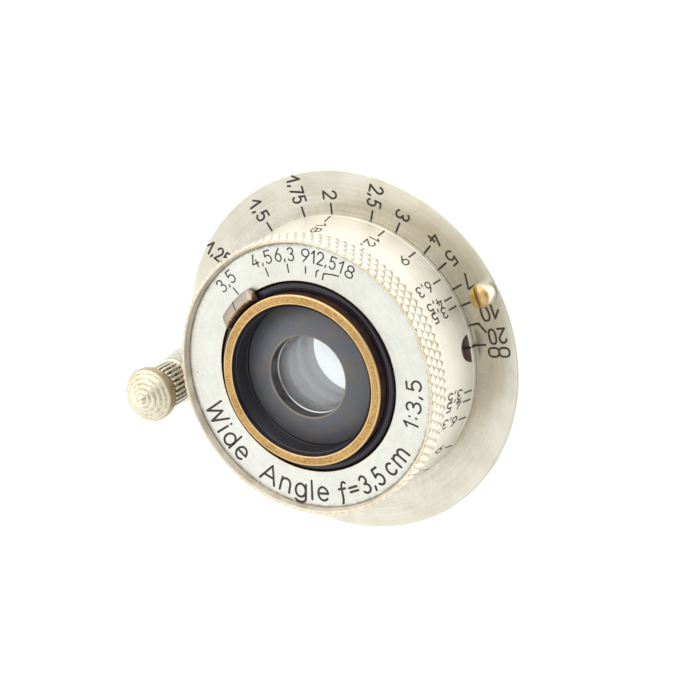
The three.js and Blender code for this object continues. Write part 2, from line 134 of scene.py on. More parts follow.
class Shader(Nodes):
    """A material's node tree, with the patterns that the finishes share."""

    def __init__(self):
        self.material = bpy.data.materials.new("finish")
        self.material.use_nodes = True
        super().__init__(self.material.node_tree)
        self.surface = self.tree.nodes["Principled BSDF"]
        self.place = self.node("ShaderNodeTexCoord").outputs["Object"]
        self.bumps = None

    def noise(self, size, detail=3.0, roughness=0.55, where=None):
        """Noise whose features are about `size` millimetres across."""
        inputs = {"Vector": where or self.place, "Scale": 1 / (size * MM), "Detail": detail}
        inputs["Roughness"] = roughness
        return self.node("ShaderNodeTexNoise", inputs).outputs["Fac"]

    def turned_noise(self, size, around=6.0, detail=2.0):
        """Noise drawn out into circles about the lens axis, as a lathe tool leaves it."""
        parts = self.node("ShaderNodeSeparateXYZ", {0: self.place})
        x, y, z = parts.outputs
        square = self.plus(self.times(x, x), self.times(y, y))
        radius = self.math("SQRT", square)
        across = self.times(self.plus(radius, z), 1 / (size * MM))
        turn_x = self.times(self.math("DIVIDE", x, radius), around)
        turn_y = self.times(self.math("DIVIDE", y, radius), around)
        where = self.node("ShaderNodeCombineXYZ", {0: turn_x, 1: turn_y, 2: across})
        inputs = {"Vector": where.outputs[0], "Scale": 1.0, "Detail": detail}
        return self.node("ShaderNodeTexNoise", inputs).outputs["Fac"]

    def mix(self, factor, first, second):
        made = self.node("ShaderNodeMix", data_type="RGBA")
        self.put(made.inputs[0], factor)
        self.put(made.inputs[6], first)
        self.put(made.inputs[7], second)
        return made.outputs[2]

    def attribute(self, name):
        return self.node("ShaderNodeAttribute", attribute_name=name).outputs["Fac"]

    def bump(self, height, depth, strength=1.0):
        """Adds a relief `depth` millimetres deep under the bumps already there."""
        inputs = {"Height": height, "Distance": depth * MM, "Strength": strength}
        if self.bumps is not None:
            inputs["Normal"] = self.bumps
        self.bumps = self.node("ShaderNodeBump", inputs).outputs["Normal"]

    def finish(self, **inputs):
        for key, value in inputs.items():
            self.put(self.surface.inputs[key.replace("_", " ")], value)
        if self.bumps is not None:
            self.put(self.surface.inputs["Normal"], self.bumps)
        return self.material


def rgb(red, green, blue):
    """A colour given as it looks on a screen, 0 to 255, as linear light."""
    def linear(value):
        part = value / 255
        return part / 12.92 if part <= 0.04045 else ((part + 0.055) / 1.055) ** 2.4
    return (linear(red), linear(green), linear(blue), 1.0)


def worn_metal(clean, dull, under, roughness, turning=0.35, specks=0.3, wear=1.0, grain=0.15, aniso=0.0):
    """Plated or bare metal: lathe lines, blotches, dark specks, darkening in corners and grooves that is
    partly dirt and partly painted shade, and `under` showing where the mesh's wear attribute and a noise
    say that the edge has been rubbed. grain is the share of fine mottling in its tone."""
    s = Shader()
    lines = s.turned_noise(0.05)
    broad_lines = s.turned_noise(0.3, around=1.5)
    blotches = s.noise(4.5, detail=3)
    fine = s.noise(0.35, detail=4)
    tone = s.plus(s.times(blotches, 0.6), s.times(broad_lines, 0.4))
    tone = s.times(tone, 1 - grain)
    tone = s.plus(tone, s.times(s.noise(0.22, detail=4, roughness=0.65), grain))
    colour = s.mix(s.remap(tone, 0.38, 0.64), clean, dull)
    rub = s.plus(s.attribute("wear"), s.times(s.math("SUBTRACT", fine, 0.5), 0.9))
    bare = s.times(s.remap(rub, 0.42, 0.72), wear)
    colour = s.mix(bare, colour, under)
    spots = s.remap(s.noise(0.3, detail=3, roughness=0.6), 0.68, 0.72)
    patches = s.remap(s.noise(4.0, detail=2), 0.46, 0.62)
    dirt = s.times(s.times(spots, patches), specks, clamp=True)
    # Darkening from that attribute, mixed in below towards dark brown: painted shade in corners and grooves,
    # with some dirt.
    grime_and_shade = s.times(s.attribute("grime_and_shade"), s.remap(s.noise(0.5, detail=4), 0.35, 0.62))
    colour = s.mix(dirt, colour, rgb(84, 68, 50))
    colour = s.mix(s.times(grime_and_shade, 0.8, clamp=True), colour, rgb(104, 86, 66))
    rough = s.plus(s.times(s.math("SUBTRACT", lines, 0.5), 0.12), roughness)
    rough = s.plus(rough, s.times(s.math("SUBTRACT", blotches, 0.5), 0.1))
    rough = s.plus(rough, s.times(grime_and_shade, 0.3), clamp=True)
    s.bump(lines, 0.004, turning)
    s.bump(fine, 0.006, 0.3)
    s.bump(s.math("SUBTRACT", 1.0, spots), 0.02, 0.5)
    if aniso:
        s.surface.inputs["Anisotropic"].default_value = aniso
        tangent = s.node("ShaderNodeTangent", direction_type="RADIAL", axis="Z")
        s.put(s.surface.inputs["Tangent"], tangent.outputs[0])
    return s.finish(Base_Color=colour, Metallic=1.0, Roughness=rough)


def lacquer(clean, dusty, roughness, coat, coat_roughness=0.12, shine=0.5):
    """Black or grey lacquer on metal, with dust, small chips and wear down to brown on its edges."""
    s = Shader()
    haze = s.noise(2.4, detail=5)
    dust = s.remap(s.noise(0.16, detail=2), 0.71, 0.76)
    colour = s.mix(s.remap(haze, 0.35, 0.7), clean, dusty)
    rub = s.plus(s.attribute("wear"), s.times(s.math("SUBTRACT", s.noise(0.3), 0.5), 1.1))
    colour = s.mix(s.remap(rub, 0.5, 0.8), colour, rgb(116, 92, 62))
    colour = s.mix(s.times(dust, 0.5), colour, rgb(190, 186, 178))
    rough = s.plus(s.times(haze, 0.22), roughness - 0.11)
    s.bump(s.turned_noise(0.12), 0.003, 0.3)
    s.bump(s.noise(0.5, detail=3), 0.006, 0.25)
    s.surface.inputs["Coat Weight"].default_value = coat
    s.surface.inputs["Coat Roughness"].default_value = coat_roughness
    s.surface.inputs["Specular IOR Level"].default_value = shine
    return s.finish(Base_Color=colour, Metallic=0.0, Roughness=rough)


def polished_glass(haze=1.0, index=1.5):
    """Uncoated optical glass, with a little dust on it. haze is the share of light that goes through."""
    s = Shader()
    dust = s.remap(s.noise(0.2, detail=2), 0.7, 0.78)
    s.surface.inputs["IOR"].default_value = index
    s.surface.inputs["Transmission Weight"].default_value = haze
    s.bump(s.noise(1.5), 0.0005, 0.15)
    return s.finish(Base_Color=rgb(250, 252, 252), Roughness=s.times(dust, 0.12))


def pale_floor():
    s = Shader()
    weave = s.noise(0.8, detail=5)
    colour = s.mix(weave, rgb(120, 120, 120), rgb(128, 128, 128))
    s.bump(weave, 0.02, 0.2)
    s.surface.inputs["Emission Color"].default_value = (1, 1, 1, 1)
    s.surface.inputs["Emission Strength"].default_value = 1.42
    return s.finish(Base_Color=colour, Roughness=0.9)


BRASS = rgb(214, 186, 132)
NICKEL = rgb(220, 215, 200)
DULL_NICKEL = rgb(208, 202, 186)

look = {
    "nickel": worn_metal(NICKEL, DULL_NICKEL, BRASS, 0.34),
    "plate": worn_metal(rgb(219, 219, 209), rgb(213, 212, 201), BRASS, 0.34, specks=0.9),
    "flange": worn_metal(NICKEL, rgb(206, 199, 181), BRASS, 0.34, turning=0.8, aniso=0.75),
    "flange_side": worn_metal(rgb(214, 216, 212), rgb(204, 205, 198), BRASS, 0.36),
    "cone": worn_metal(rgb(236, 232, 220), rgb(228, 223, 210), BRASS, 0.52),
    "knurl": worn_metal(rgb(234, 229, 214), rgb(222, 215, 196), BRASS, 0.4, wear=0.9),
    "rim_brass": worn_metal(rgb(200, 163, 106), rgb(150, 112, 66), rgb(222, 190, 132), 0.36,
                           turning=0.8, specks=1.4, grain=0.6),
    "brass": worn_metal(rgb(196, 158, 92), rgb(150, 116, 66), rgb(214, 180, 112), 0.4),
    "brown": worn_metal(rgb(150, 124, 104), rgb(110, 90, 78), rgb(160, 130, 92), 0.5),
    # Brass darkened to brown: partly the brass inside the focusing notch, partly painted shade there.
    "notch_brown": lacquer(rgb(122, 102, 90), rgb(92, 74, 64), 0.5, 0.1),
    # Dark brown lacquer of the cell's outer wall; on the button's underside band it is a painted shadow.
    "rim_wall": lacquer(rgb(50, 36, 34), rgb(76, 54, 40), 0.4, 0.1, 0.12, 0.2),
    "rim_inside": lacquer(rgb(216, 206, 186), rgb(184, 168, 148), 0.5, 0.1),
    "iris_dark": lacquer(rgb(20, 14, 26), rgb(30, 22, 34), 0.42, 0.0, 0.12, 0.15),
    "post_brass": worn_metal(rgb(206, 176, 116), rgb(176, 142, 86), BRASS, 0.4, grain=0.4),
    # A darker copy of the nickel: painted shade on the lever and its housing.
    "lever": worn_metal(rgb(192, 190, 178), rgb(168, 165, 148), BRASS, 0.42),
    "knob": worn_metal(rgb(230, 224, 202), rgb(212, 202, 172), BRASS, 0.34, grain=0.3),
    # A darker, browner copy of the knob's nickel: painted shade on the button's side wall.
    "knob_side": worn_metal(rgb(182, 166, 142), rgb(150, 130, 104), BRASS, 0.42, grain=0.4),
    "tab": worn_metal(rgb(182, 173, 158), rgb(160, 150, 134), BRASS, 0.42, grain=0.4),
    "tab_side": worn_metal(rgb(112, 92, 88), rgb(80, 64, 62), BRASS, 0.45, grain=0.4),
    "black": lacquer(rgb(14, 11, 18), rgb(22, 19, 27), 0.3, 1.0, 0.05, 0.0),
    "grey": lacquer(rgb(95, 97, 103), rgb(108, 102, 99), 0.46, 0.1),
    "hole_edge": lacquer(rgb(128, 112, 94), rgb(148, 134, 116), 0.5, 0.1),
    "inner_black": lacquer(rgb(16, 13, 20), rgb(26, 23, 30), 0.36, 0.3),
    "blade": worn_metal(rgb(58, 58, 64), rgb(42, 41, 46), rgb(110, 108, 106), 0.42),
    "steel": worn_metal(rgb(196, 194, 188), rgb(166, 162, 154), rgb(214, 212, 206), 0.34),
    "glass": polished_glass(1.0, 1.34),
    "hazy_glass": polished_glass(0.8),
    "ink": lacquer(rgb(48, 41, 36), rgb(70, 61, 54), 0.7, 0.0),
    "pale_ink": lacquer(rgb(74, 67, 61), rgb(94, 85, 77), 0.7, 0.0),
}
for finish_name, made_material in look.items():
    made_material.name = finish_name


# ---- mesh building -------------------------------------------------------------------------------

class Shell:
    """Collects closed surfaces and turns them into one object. Points are in millimetres."""

    def __init__(self):
        self.points = []
        self.faces = []
        self.marks = []
        self.wear = []
        # Darkening per point in corners and grooves: partly dirt, partly painted shade.
        self.grime_and_shade = []

    def grid(self, rows, slot=None, loop_u=True, loop_v=True):
        """Joins rows of (point, wear, darkening for dirt and painted shade) into quads. Rows run round the
        piece, and wrap when told.
        """
        start = len(self.points)
        width = len(rows[0])
        for row in rows:
            for point, wear, grime_and_shade in row:
                self.points.append(point)
                self.wear.append(wear)
                self.grime_and_shade.append(grime_and_shade)
        height = len(rows)
        for i in range(height if loop_u else height - 1):
            for j in range(width if loop_v else width - 1):
                a = start + i * width + j
                b = start + i * width + (j + 1) % width
                c = start + ((i + 1) % height) * width + (j + 1) % width
                d = start + ((i + 1) % height) * width + j
                self.faces.append((a, b, c, d))
                self.marks.append(slot(i, j) if slot else 0)
        return start

    def build(self, name, materials, body, nodes=(), slot=None, sharp=35.0):
        """Makes the object, rides it on a body, and lets it stand for CAD nodes."""
        mesh = bpy.data.meshes.new(name)
        mesh.from_pydata([[c * MM for c in p] for p in self.points], [], self.faces)
        for key, values in (("wear", self.wear), ("grime_and_shade", self.grime_and_shade)):
            mesh.attributes.new(key, "FLOAT", "POINT").data.foreach_set("value", values)
        for material in materials if isinstance(materials, list) else [materials]:
            mesh.materials.append(look[material])
        mesh.polygons.foreach_set("material_index", self.marks)
        made = bpy.data.objects.new(name, mesh)
        bpy.context.scene.collection.objects.link(made)
        tidy(mesh, sharp)
        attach(made, body)
        if nodes:
            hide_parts(*nodes)
        return made


def tidy(mesh, sharp):
    """Merges the points that meet on an axis, faces everything outwards and shades it smooth."""
    work = bmesh.new()
    work.from_mesh(mesh)
    bmesh.ops.remove_doubles(work, verts=work.verts, dist=1e-7)
    bmesh.ops.recalc_face_normals(work, faces=work.faces)
    work.to_mesh(mesh)
    work.free()
    mesh.shade_smooth()
    mesh.set_sharp_from_angle(angle=math.radians(sharp))


def polar(radius, angle):
    return radius * math.cos(math.radians(angle)), radius * math.sin(math.radians(angle))


def fillet(outline, closed=True):
    """Rounds an outline's corners. A corner is (r, z, radius of the round, wear on it, darkening in it that
    is partly dirt and partly painted shade).
    """
    corners = [tuple(c) + (0.0,) * (5 - len(c)) for c in outline]
    count = len(corners)
    made = []
    for i, (r, z, round_off, wear, grime_and_shade) in enumerate(corners):
        here = Vector((r, z))
        ends = not closed and i in (0, count - 1)
        if round_off <= 0 or ends:
            made.append((r, z, wear, grime_and_shade))
            continue
        before = Vector(corners[i - 1][:2]) - here
        after = Vector(corners[(i + 1) % count][:2]) - here
        size = min(round_off, before.length * 0.42, after.length * 0.42)
        guard = size * 2.2
        room_before, room_after = before.length * 0.5, after.length * 0.5
        before, after = before.normalized(), after.normalized()
        if guard < room_before:
            made.append((*(here + before * guard), 0.0, grime_and_shade * 0.4))
        for step in range(5):
            t = step / 4
            point = here + before * size * (1 - t) ** 2 + after * size * t ** 2
            made.append((*point, wear, grime_and_shade))
        if guard < room_after:
            made.append((*(here + after * guard), 0.0, grime_and_shade * 0.4))
    return made


def turned(shell, outline, segments=240, at=(0.0, 0.0), carve=None, closed=True, slot=None, extra=()):
    """Turns an outline of corners about an axis. carve moves a point, given as (r, z, angle), and slot
    gives the material's number on the face whose middle is at (r, z)."""
    profile = fillet(outline, closed)
    angles = sorted({i * 360 / segments for i in range(segments)} | {a % 360 for a in extra})
    rows = []
    for r, z, wear, grime_and_shade in profile:
        row = []
        for angle in angles:
            cut_r, cut_z = carve(r, z, angle) if carve else (r, z)
            x, y = polar(cut_r, angle)
            row.append(((x + at[0], y + at[1], cut_z), wear, grime_and_shade))
        rows.append(row)

    def slot_at(i, j):
        near, far = profile[i], profile[(i + 1) % len(profile)]
        return slot((near[0] + far[0]) / 2, (near[1] + far[1]) / 2)

    shell.grid(rows, loop_u=closed, slot=slot_at if slot else None)
    return shell


def ring(name, outline, material, body, nodes, **options):
    slot_name = options.pop("slot_name", "nickel")
    shell = turned(Shell(), outline, **options)
    return shell.build(name, material, body, nodes, slot_name)


def cut_away(piece, shells):
    """Takes closed shapes away from a piece, leaving a plain mesh."""
    for shell in shells:
        tool_mesh = bpy.data.meshes.new("tool")
        tool_mesh.from_pydata([[c * MM for c in p] for p in shell.points], [], shell.faces)
        tidy(tool_mesh, 30)
        tool = bpy.data.objects.new("tool", tool_mesh)
        bpy.context.scene.collection.objects.link(tool)
        tool_mesh.materials.append(piece.data.materials[-1])
        step = piece.modifiers.new("cut", "BOOLEAN")
        step.operation = "DIFFERENCE"
        step.solver = "EXACT"
        step.object = tool
        bpy.context.view_layer.update()
        evaluated = piece.evaluated_get(bpy.context.evaluated_depsgraph_get())
        result = bpy.data.meshes.new_from_object(evaluated)
        piece.modifiers.clear()
        piece.data = result
        bpy.data.objects.remove(tool)
        result.shade_smooth()
        result.set_sharp_from_angle(angle=math.radians(35))
    return piece


def block(low, high, angle=0.0, at=(0.0, 0.0)):
    """A closed box turned by an angle about Z at a point."""
    shell = Shell()
    turn = Matrix.Rotation(math.radians(angle), 3, "Z")
    for z in (low[2], high[2]):
        for x, y in ((low[0], low[1]), (high[0], low[1]), (high[0], high[1]), (low[0], high[1])):
            point = turn @ Vector((x, y, z))
            shell.points.append((point.x + at[0], point.y + at[1], point.z))
    shell.faces = [(0, 3, 2, 1), (4, 5, 6, 7), (0, 1, 5, 4), (1, 2, 6, 5), (2, 3, 7, 6), (3, 0, 4, 7)]
    return shell


# ---- engraving -----------------------------------------------------------------------------------

def arc(x, y, rx, ry, start=0.0, end=360.0, steps=18):
    points = []
    for i in range(steps + 1):
        angle = math.radians(start + (end - start) * i / steps)
        points.append((x + rx * math.cos(angle), y + ry * math.sin(angle)))
    return points


def oval(x, y, rx, ry, power=2.7, steps=28):
    """A closed loop with flatter sides than an ellipse."""
    points = []
    for i in range(steps + 1):
        turn = 2 * math.pi * i / steps
        c, d = math.cos(turn), math.sin(turn)
        reach_x = math.copysign(abs(c) ** (2 / power), c)
        reach_y = math.copysign(abs(d) ** (2 / power), d)
        points.append((x + rx * reach_x, y + ry * reach_y))
    return points


# Single-stroke letters: width, then strokes, for a letter height of 1.
GLYPHS = {
    "0": (0.60, [oval(0.3, 0.5, 0.26, 0.5)]),
    "1": (0.36, [[(0.03, 0.72), (0.26, 1.0), (0.26, 0.0)]]),
    "long 1": (0.46, [[(-0.04, 0.5), (0.36, 1.0), (0.36, 0.0)]]),
    "2": (0.60, [arc(0.3, 0.72, 0.27, 0.28, 170, -38) + [(0.03, 0.0), (0.58, 0.0)]]),
    "3": (0.60, [arc(0.3, 0.765, 0.24, 0.235, 155, -90, 14), arc(0.29, 0.265, 0.28, 0.265, 90, -150, 14)]),
    "4": (0.60, [[(0.36, 1.0), (0.02, 0.3), (0.6, 0.3)], [(0.42, 0.55), (0.42, 0.0)]]),
    "5": (0.60, [[(0.55, 1.0), (0.13, 1.0), (0.08, 0.55)] + arc(0.29, 0.32, 0.28, 0.32, 132, -145, 14)]),
    "6": (0.60, [[(0.48, 1.0), (0.24, 0.72), (0.07, 0.44)], arc(0.3, 0.3, 0.27, 0.3)]),
    "7": (0.58, [[(0.03, 1.0), (0.57, 1.0), (0.2, 0.0)]]),
    "8": (0.60, [arc(0.3, 0.76, 0.22, 0.24), arc(0.3, 0.26, 0.28, 0.26)]),
    "9": (0.60, [[(0.12, 0.0), (0.36, 0.28), (0.53, 0.56)], arc(0.3, 0.7, 0.27, 0.3)]),
    ",": (0.20, [[(0.12, 0.13), (0.05, -0.07)]]),
    ":": (0.16, [[(0.08, 0.2), (0.08, 0.24)], [(0.08, 0.68), (0.08, 0.72)]]),
    "=": (0.56, [[(0.02, 0.34), (0.54, 0.34)], [(0.02, 0.58), (0.54, 0.58)]]),
    "f": (0.46, [[(0.5, 0.92), (0.42, 1.0), (0.32, 0.96), (0.25, 0.78), (0.16, 0.0), (0.1, -0.2)],
                 [(0.06, 0.62), (0.42, 0.62)]]),
    "c": (0.52, [arc(0.28, 0.36, 0.25, 0.36, 48, 312, 14)]),
    "m": (0.94, [[(0.05, 0.0), (0.05, 0.72)], arc(0.26, 0.46, 0.21, 0.26, 165, 0, 8) + [(0.47, 0.0)],
                 arc(0.68, 0.46, 0.21, 0.26, 165, 0, 8) + [(0.89, 0.0)]]),
    "W": (0.96, [[(0.02, 1.0), (0.25, 0.0), (0.48, 0.86), (0.71, 0.0), (0.94, 1.0)]]),
    "A": (0.74, [[(0.02, 0.0), (0.37, 1.0), (0.72, 0.0)], [(0.14, 0.34), (0.6, 0.34)]]),
    "i": (0.12, [[(0.06, 0.0), (0.06, 0.7)], [(0.06, 0.93), (0.06, 0.96)]]),
    "d": (0.56, [arc(0.27, 0.36, 0.24, 0.36), [(0.52, 1.0), (0.52, 0.0)]]),
    "e": (0.54, [[(0.04, 0.37), (0.52, 0.37)] + arc(0.28, 0.36, 0.24, 0.36, 4, 312, 14)]),
    "n": (0.54, [[(0.05, 0.0), (0.05, 0.72)], arc(0.27, 0.46, 0.22, 0.26, 165, 0, 8) + [(0.49, 0.0)]]),
    "g": (0.56, [arc(0.27, 0.36, 0.24, 0.36),
                 [(0.52, 0.72), (0.52, -0.08)] + arc(0.28, -0.08, 0.24, 0.2, 0, -150, 8)]),
    "l": (0.12, [[(0.06, 1.0), (0.06, 0.0)]]),
    "infinity": (1.36, [oval(0.35, 0.5, 0.33, 0.5), oval(1.01, 0.5, 0.33, 0.5)]),
}
LETTER_GAP = 0.2
CAP_STEPS = [(math.cos(math.radians(turn)), math.sin(math.radians(turn))) for turn in (12, 35, 60)]


def split_corners(points, limit=50.0):
    """Cuts a stroke where it turns sharply, so that every part bends gently."""
    parts = [[points[0]]]
    for i in range(1, len(points)):
        parts[-1].append(points[i])
        if i + 1 < len(points):
            first = Vector(points[i]) - Vector(points[i - 1])
            second = Vector(points[i + 1]) - Vector(points[i])
            if math.degrees(first.angle(second, 0.0)) > limit:
                parts.append([points[i]])
    return parts


class Engraving:
    """Ink-filled strokes laid on a surface. A surface turns (along, up) into a point and its normal."""

    def __init__(self):
        self.shell = Shell()
        self.count = 0

    def stroke(self, points, half, surface):
        """One line of round-ended ink, from a list of points on the surface."""
        for part in split_corners(points):
            self.count += 1
            lift = 0.012 + 0.0004 * (self.count % 12)
            path = [Vector(p) for p in part]
            end = len(path) - 1
            ways = [(path[min(i + 1, end)] - path[max(i - 1, 0)]).normalized() for i in range(end + 1)]
            sections = [(path[0] - ways[0] * half * cos, ways[0], half * sin) for cos, sin in CAP_STEPS]
            sections += [(point, way, half) for point, way in zip(path, ways)]
            sections += [(path[-1] + ways[-1] * half * cos, ways[-1], half * sin)
                         for cos, sin in reversed(CAP_STEPS)]
            start = len(self.shell.points)
            for centre, way, width in sections:
                side = Vector((-way.y, way.x)) * width
                for height in (lift, -0.03):
                    for sign in ((1, -1) if height > 0 else (-1, 1)):
                        point, normal = surface(*(centre + side * sign))
                        self.shell.points.append(tuple(point + normal * height))
                        self.shell.wear.append(0.0)
                        self.shell.grime_and_shade.append(0.0)
            last = len(sections) - 1
            faces = [(start, start + 1, start + 2, start + 3)]
            faces.append(tuple(start + last * 4 + k for k in (3, 2, 1, 0)))
            for i in range(last):
                for k in range(4):
                    a = start + i * 4 + k
                    b = start + i * 4 + (k + 1) % 4
                    faces.append((a, a + 4, b + 4, b))
            self.shell.faces += faces
            self.shell.marks += [0] * len(faces)

    def text(self, letters, height, span, half, surface):
        """A row of letters `height` tall, stretched along the surface to `span`."""
        widths = [GLYPHS[letter][0] for letter in letters]
        total = sum(widths) + LETTER_GAP * (len(letters) - 1)
        stretch = span / total
        along = 0.0
        for letter, width in zip(letters, widths):
            for line in GLYPHS[letter][1]:
                moved = [((along + x) * stretch, y * height) for x, y in line]
                self.stroke(moved, half, surface)
            along += width + LETTER_GAP

    def build(self, name, body, ink="ink"):
        return self.shell.build(name, ink, body, sharp=60)


def on_face(z, angle, radius, turn=-1, rise=1):
    """Text round a flat face. turn is the way it reads (-1 clockwise); rise is +1 with tops outwards."""
    def surface(along, up):
        r = radius + rise * up
        x, y = polar(r, angle + turn * math.degrees(along / radius))
        return Vector((x, y, z)), Vector((0, 0, 1))
    return surface


def inward_face(z, angle, radius, height):
    """Text that reads inwards along a radius of a flat face, with its tops clockwise."""
    def surface(along, up):
        r = radius - along
        x, y = polar(r, angle - math.degrees((up - height / 2) / r))
        return Vector((x, y, z)), Vector((0, 0, 1))
    return surface


def cone_radius(z):
    part = (z - CONE_REAR) / (CONE_FRONT - CONE_REAR)
    return CONE_REAR_R + (CONE_FRONT_R - CONE_REAR_R) * part


def on_cone(z0, angle, height):
    """Text that reads forwards along the cone, with its tops clockwise."""
    slope = (CONE_REAR_R - CONE_FRONT_R) / (CONE_FRONT - CONE_REAR)
    def surface(along, up):
        z = z0 + along
        r = cone_radius(z)
        at = angle - math.degrees((up - height / 2) / r)
        x, y = polar(r, at)
        nx, ny = polar(1.0, at)
        return Vector((x, y, z)), Vector((nx, ny, slope)).normalized()
    return surface


# ---- the mount -----------------------------------------------------------------------------------

def make_flange():
    outline = [
        (18.65, 0.3), (THREAD_R + 0.1, 0.3), (THREAD_R + 0.1, 0.0), (FLANGE_R - 0.12, 0.0, 0.1, 0.4),
        (FLANGE_R, 0.12, 0.08, 0.3), (FLANGE_R, FLANGE_Z - 0.14, 0.08, 0.3),
        (FLANGE_R - 0.14, FLANGE_Z, 0.09, 0.42), (17.6, FLANGE_Z, 0.05, 0.3, 0.4), (17.6, 1.45),
        (18.65, 1.45),
    ]
    flange = ring("flange", outline, ["flange_side", "flange"], "mount", ["scale_flange"], segments=360,
                  slot=lambda r, z: 0 if r > FLANGE_R - 0.03 else 1)
    pocket = block((22.75, -2.25, 1.0), (26.4, 2.25, 3.0), LEVER_ANGLE)
    cut_away(flange, [pocket])


INDEX_ANGLE = -0.7
MOVED_NUMBERS = {20: (2.0, 0.3), 10: (10.3, 0.15)}  # angle, and how much further out
NUMBER_FOOT = 20.25
DISTANCES = [20, 10, 7, 5, 4, 3, 2.5, 2, 1.75, 1.5, 1.25, 1]


def distance_angle(metres):
    """Where a distance stands on the flange: the focusing travel is close to one over the distance."""
    return INDEX_ANGLE + 163.6 / (metres - 0.075)


def make_distance_scale():
    ink = Engraving()
    height, half = 1.85, 0.14
    for metres in DISTANCES:
        angle = distance_angle(metres)
        label = f"{metres:g}".replace(".", ",")
        number_angle, gap = MOVED_NUMBERS.get(metres, (angle, 0.0))
        ink.stroke([(0.0, 0.0), (1.2, 0.0)], half, inward_face(FLANGE_Z, angle, 19.62, 0.0))
        if metres == 20:
            leader = on_face(FLANGE_Z, angle, 19.62)
            ink.stroke([(0.0, 0.0), (1.25, 0.7)], half, leader)
        digits = len(label.replace(",", ""))
        span = 1.05 * digits + 0.3 * (digits - 1) + (0.3 if "," in label else 0.0)
        foot = NUMBER_FOOT + gap
        outer = min(foot + span, 23.7)
        letters = ["long 1" if letter == "1" else letter for letter in label]
        ink.text(letters, height, outer - foot, half, inward_face(FLANGE_Z, number_angle, outer, height))
    ink.stroke([(0.0, 0.0), (1.5, 0.0)], half, inward_face(FLANGE_Z, INDEX_ANGLE, 19.85, 0.0))
    ink.text(["infinity"], 1.15, 2.9, half, inward_face(FLANGE_Z, -3.5, 23.05, 1.15))
    ink.build("distance_scale", "mount")


PITCH = 25.4 / 26  # camera thread, 26 turns to the inch


def thread_radius(crest, depth, pitch, z, angle):
    """A rounded V thread: the radius at a height and an angle of a right-hand screw."""
    phase = (z / pitch - angle / 360) % 1.0
    wave = abs(phase - 0.5) * 2
    return crest - depth * (0.5 - 0.5 * math.cos(math.pi * min(max(wave * 1.25 - 0.125, 0.0), 1.0)))


def screw_rows(crest, depth, pitch, z0, z1, per_turn, segments, lead_in=0.5):
    """Rows of a threaded wall that fades out at both ends."""
    steps = round((z1 - z0) / pitch * per_turn)
    rows = []
    for i in range(steps + 1):
        z = z0 + (z1 - z0) * i / steps
        fade = min(1.0, (z - z0) / lead_in, (z1 - z) / lead_in)
        row = []
        for j in range(segments):
            angle = j * 360 / segments
            full = thread_radius(crest, depth, pitch, z, angle)
            radius = crest - depth + (full - (crest - depth)) * max(fade, 0.0)
            deep = (crest - radius) / depth
            row.append(((*polar(radius, angle), z), 0.55 * (1 - deep), 0.7 * deep))
        rows.append(row)
    return rows


def plain_rows(points, segments):
    """Rows of a smooth turned wall, from (r, z) points."""
    return [[((*polar(r, j * 360 / segments), z), 0.0, 0.25) for j in range(segments)] for r, z in points]


def threaded_ring(name, before, thread, after, material, body, nodes, segments=180, **options):
    """A ring whose outside has a thread between two plain stretches of outline."""
    rows = plain_rows(before, segments) + screw_rows(*thread, 8, segments, **options)
    rows += plain_rows(after, segments)
    shell = Shell()
    shell.grid(rows)
    return shell.build(name, material, body, nodes)


def make_mount():
    make_flange()
    make_distance_scale()
    bore = 16.8
    threaded_ring(
        "screw_thread", [(bore, 0.75), (bore, THREAD_REAR + 0.2), (bore + 0.2, THREAD_REAR)],
        (THREAD_R, 0.5, PITCH, THREAD_REAR, -0.75),
        [(18.6, -0.7), (18.6, 0.8)], "brass", "mount", ["screw_barrel"])
    x, y = POST_AT.x, POST_AT.y
    outline = [
        (0.0, POST_REAR), (0.8, POST_REAR), (0.8, FLANGE_Z + 0.02), (1.5, FLANGE_Z + 0.02, 0.05, 0.3, 0.8),
        (1.5, 3.55, 0.3, 0.25), (1.36, 4.1, 0.2, 0.5), (0.7, POST_TOP - 0.05, 0.2, 0.6), (0.0, POST_TOP),
    ]
    shell = turned(Shell(), outline, 64, (x, y), closed=False, slot=lambda r, z: 1 if z > 3.95 else 0)
    post = shell.build("stop_post", ["nickel", "post_brass"], "mount", ["near_stop_post"], "nickel")
    cut_away(post, [block((-2, -0.28, 4.02), (2, 0.28, 6), 100, (x, y))])


# ---- the index ring, the lever and its button ----------------------------------------------------

def make_index_ring():
    outline = [
        (16.85, 0.9), (18.2, 0.9), (18.2, 1.35), (17.5, 1.35), (17.5, 2.06), (18.3, 2.06, 0.04, 0.1),
        (18.3, 2.8, 0.05, 0.2), (18.2, 2.88, 0.04, 0.2), (17.15, 2.88, 0.05, 0.0, 0.6), (17.15, 5.0),
        (16.85, 5.0),
    ]
    # What shows down the notch takes notch_brown: the brass sleeve with painted shade on it.
    ring("index_ring_turned", outline, ["cone", "notch_brown"], "focus_ring", ["index_ring"],
         slot=lambda r, z: 1 if z > 2.8 and r < 17.9 else 0)
    ink = Engraving()

    def band(along, up):
        x, y = polar(18.31, INDEX_ANGLE + math.degrees(up / 18.31))
        return Vector((x, y, 2.1 + along)), Vector((1, 0, 0))

    def sleeve(along, up):
        x, y = polar(17.15, INDEX_ANGLE + math.degrees(up / 17.15))
        return Vector((x, y, 2.95 + along)), Vector((1, 0, 0))

    half = 0.16
    ink.stroke([(0.0, 0.0), (0.45, 0.0)], half, band)
    ink.stroke([(0.0, 0.0), (1.7, 0.0)], half, sleeve)
    ink.stroke([(0.0, 0.0), (0.85, 0.0)], half, inward_face(2.89, INDEX_ANGLE, 18.15, 0.0))
    ink.build("index_line", "focus_ring")


